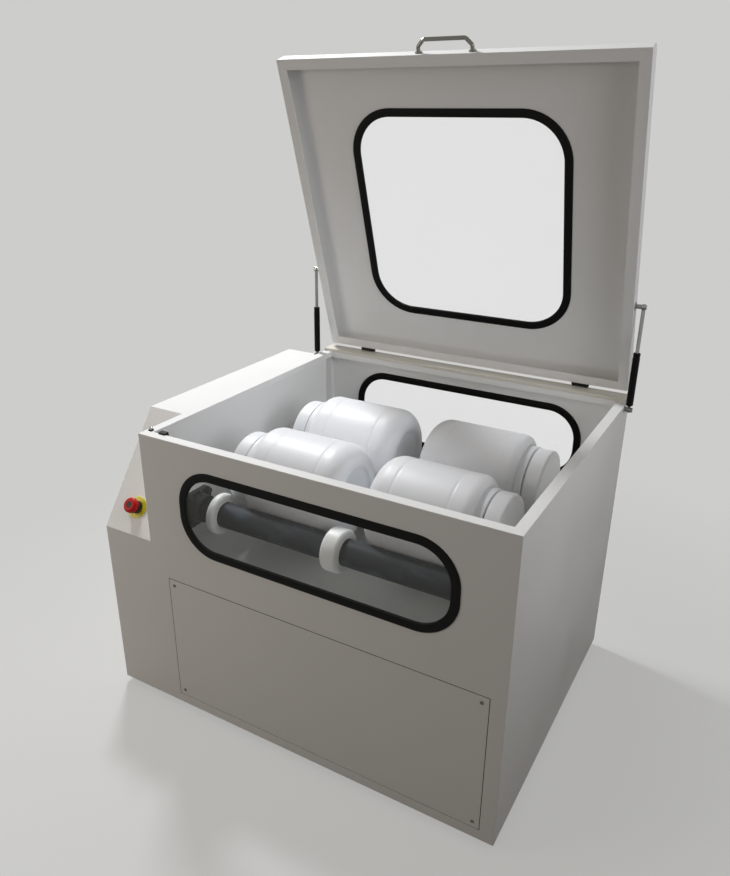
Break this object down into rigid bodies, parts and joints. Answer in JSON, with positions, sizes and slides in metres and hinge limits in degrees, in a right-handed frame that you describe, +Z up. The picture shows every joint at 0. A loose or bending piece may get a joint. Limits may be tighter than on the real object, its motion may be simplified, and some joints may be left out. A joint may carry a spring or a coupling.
{
  "type": "roller jar mill",
  "caption": "Floor-standing roller jar mill: sheet metal cabinet with windows, hinged window lid on gas struts, driven rollers, screw-cap jars and a side drive box.",
  "frame": {"origin": "on the floor, under the middle of the mill's bounding box with the lid open", "axes": "-Y out of the front with the long window, +X along the rollers away from the drive box, +Z up"},
  "size_m": [1.1856, 0.9338, 1.7482],
  "materials": {
    "bearing_iron": "dark green-grey paint",
    "belt_rubber": "fabric-backed",
    "black_plastic": "matt",
    "black_steel": "black, satin",
    "cast_pulley": "turned",
    "chrome": "polished",
    "clear_pane": "clear acrylic sheet, polished",
    "floor_steel": "powder coat, satin, dusty",
    "frame_steel": "grey paint",
    "gasket_rubber": "matt black",
    "grey_plastic": "matt",
    "jar_plastic": "milky polyethylene",
    "motor_paint": "grey paint",
    "red_plastic": "glossy",
    "roller_rubber": "dark blue-grey, chalky",
    "screw_steel": "zinc plated",
    "shaft_steel": "turned",
    "stainless": "brushed",
    "white_nylon": "turned nylon",
    "white_steel": "fine powder coat, satin",
    "yellow_plastic": "satin"
  },
  "bodies": {
    "cabinet": {"access_panel": "white_steel", "access_panel_screws": "screw_steel", "base_frame": "frame_steel", "bearing_housings": "bearing_iron", "cable_gland": "black_plastic", "chamber_floor": "floor_steel", "control_box": "grey_plastic", "drive_belt": "belt_rubber", "drive_cover": "white_steel", "drive_motor": "motor_paint", "estop_body": "black_plastic", "estop_ring": "yellow_plastic", "front_panel": "white_steel", "front_window_gasket": "gasket_rubber", "front_window_pane": "clear_pane", "gearbox": "motor_paint", "hinge_brackets": "black_steel", "hinge_rail": "white_steel", "levelling_feet": "black_plastic", "lid_rest": "stainless", "partition_wall": "white_steel", "rear_panel": "white_steel", "rear_window_gasket": "gasket_rubber", "rear_window_pane": "clear_pane", "right_panel": "white_steel", "rim_fittings": "black_plastic", "rim_frame": "white_steel", "strut_brackets": "screw_steel"},
    "lid": {"lid_shell": "white_steel", "lid_window_pane": "clear_pane", "lid_window_gasket": "gasket_rubber", "lid_handle": "stainless", "handle_screws": "screw_steel", "hinge_leaves": "black_steel", "lid_studs": "screw_steel"},
    "left_strut_cylinder": {"left_strut_cylinder": "black_steel"},
    "left_strut_rod": {"left_strut_rod": "chrome"},
    "right_strut_cylinder": {"right_strut_cylinder": "black_steel"},
    "right_strut_rod": {"right_strut_rod": "chrome"},
    "front_roller": {"front_roller_shaft": "shaft_steel", "front_roller_sleeve": "roller_rubber", "front_roller_collars": "white_nylon"},
    "middle_roller": {"middle_roller_shaft": "shaft_steel", "middle_roller_sleeve": "roller_rubber", "middle_roller_collars": "white_nylon", "roller_pulley": "cast_pulley"},
    "rear_roller": {"rear_roller_shaft": "shaft_steel", "rear_roller_sleeve": "roller_rubber", "rear_roller_collars": "white_nylon"},
    "motor_rotor": {"motor_pulley": "cast_pulley", "motor_shaft": "shaft_steel"},
    "front_left_jar": {"front_left_jar": "jar_plastic"},
    "front_left_jar_cap": {"front_left_jar_cap": "jar_plastic"},
    "front_right_jar": {"front_right_jar": "jar_plastic"},
    "front_right_jar_cap": {"front_right_jar_cap": "jar_plastic"},
    "rear_left_jar": {"rear_left_jar": "jar_plastic"},
    "rear_left_jar_cap": {"rear_left_jar_cap": "jar_plastic"},
    "rear_right_jar": {"rear_right_jar": "jar_plastic"},
    "rear_right_jar_cap": {"rear_right_jar_cap": "jar_plastic"},
    "estop_button": {"estop_button": "red_plastic"}
  },
  "joints": [
    {"name": "lid_hinge", "type": "hinge", "parent": "cabinet", "child": "lid", "pos_m": [0.07125, 0.43864, 0.8545], "axis": [1, 0, 0], "range_deg": [0, 72.3]},
    {"name": "left_strut_swing", "type": "hinge", "parent": "cabinet", "child": "left_strut_cylinder", "pos_m": [-0.44075, 0.36914, 0.828], "axis": [1, 0, 0], "range_deg": [0, 78.89]},
    {"name": "left_strut_slide", "type": "slide", "parent": "left_strut_cylinder", "child": "left_strut_rod", "axis": [0, 0.0071, 1], "range_m": [-0.08376, 0]},
    {"name": "right_strut_swing", "type": "hinge", "parent": "cabinet", "child": "right_strut_cylinder", "pos_m": [0.58325, 0.36914, 0.828], "axis": [1, 0, 0], "range_deg": [0, 78.89]},
    {"name": "right_strut_slide", "type": "slide", "parent": "right_strut_cylinder", "child": "right_strut_rod", "axis": [0, 0.0071, 1], "range_m": [-0.08376, 0]},
    {"name": "middle_roller_spin", "type": "hinge", "parent": "cabinet", "child": "middle_roller", "pos_m": [0.07125, -0.04586, 0.592], "axis": [1, 0, 0], "continuous": true},
    {"name": "front_roller_spin", "type": "hinge", "parent": "cabinet", "child": "front_roller", "pos_m": [0.07125, -0.33586, 0.592], "axis": [1, 0, 0], "continuous": true},
    {"name": "rear_roller_spin", "type": "hinge", "parent": "cabinet", "child": "rear_roller", "pos_m": [0.07125, 0.24414, 0.592], "axis": [1, 0, 0], "continuous": true},
    {"name": "motor_spin", "type": "hinge", "parent": "cabinet", "child": "motor_rotor", "pos_m": [-0.48375, -0.04586, 0.21], "axis": [1, 0, 0], "continuous": true},
    {"name": "front_left_jar_spin", "type": "hinge", "parent": "cabinet", "child": "front_left_jar", "pos_m": [0.04225, -0.19086, 0.66819], "axis": [1, 0, 0], "continuous": true},
    {"name": "front_left_jar_cap_turn", "type": "hinge", "parent": "front_left_jar", "child": "front_left_jar_cap", "pos_m": [-0.27575, -0.19086, 0.66819], "axis": [-1, 0, 0], "range_deg": [0, 450]},
    {"name": "front_right_jar_spin", "type": "hinge", "parent": "cabinet", "child": "front_right_jar", "pos_m": [0.12025, -0.19086, 0.66819], "axis": [1, 0, 0], "continuous": true},
    {"name": "front_right_jar_cap_turn", "type": "hinge", "parent": "front_right_jar", "child": "front_right_jar_cap", "pos_m": [0.43825, -0.19086, 0.66819], "axis": [1, 0, 0], "range_deg": [0, 450]},
    {"name": "rear_left_jar_spin", "type": "hinge", "parent": "cabinet", "child": "rear_left_jar", "pos_m": [0.04225, 0.09914, 0.66819], "axis": [1, 0, 0], "continuous": true},
    {"name": "rear_left_jar_cap_turn", "type": "hinge", "parent": "rear_left_jar", "child": "rear_left_jar_cap", "pos_m": [-0.27575, 0.09914, 0.66819], "axis": [-1, 0, 0], "range_deg": [0, 450]},
    {"name": "rear_right_jar_spin", "type": "hinge", "parent": "cabinet", "child": "rear_right_jar", "pos_m": [0.12025, 0.09914, 0.66819], "axis": [1, 0, 0], "continuous": true},
    {"name": "rear_right_jar_cap_turn", "type": "hinge", "parent": "rear_right_jar", "child": "rear_right_jar_cap", "pos_m": [0.43825, 0.09914, 0.66819], "axis": [1, 0, 0], "range_deg": [0, 450]},
    {"name": "estop_press", "type": "slide", "parent": "cabinet", "child": "estop_button", "axis": [0, 0.8044, -0.5941], "range_m": [0, 0.005], "stiffness_N_per_m": 1500, "springref_m": -0.002}
  ],
  "couplings": [
    {"joint": "left_strut_swing", "follows": "lid_hinge", "ratio": 1.0884},
    {"joint": "left_strut_slide", "follows": "lid_hinge", "m_per_rad": -0.066217},
    {"joint": "right_strut_swing", "follows": "lid_hinge", "ratio": 1.0884},
    {"joint": "right_strut_slide", "follows": "lid_hinge", "m_per_rad": -0.066217},
    {"joint": "front_roller_spin", "follows": "middle_roller_spin", "ratio": 1},
    {"joint": "rear_roller_spin", "follows": "middle_roller_spin", "ratio": 1},
    {"joint": "motor_spin", "follows": "middle_roller_spin", "ratio": 1.6434},
    {"joint": "front_left_jar_spin", "follows": "middle_roller_spin", "ratio": -0.26255},
    {"joint": "front_right_jar_spin", "follows": "middle_roller_spin", "ratio": -0.26255},
    {"joint": "rear_left_jar_spin", "follows": "middle_roller_spin", "ratio": -0.26255},
    {"joint": "rear_right_jar_spin", "follows": "middle_roller_spin", "ratio": -0.26255}
  ]
}
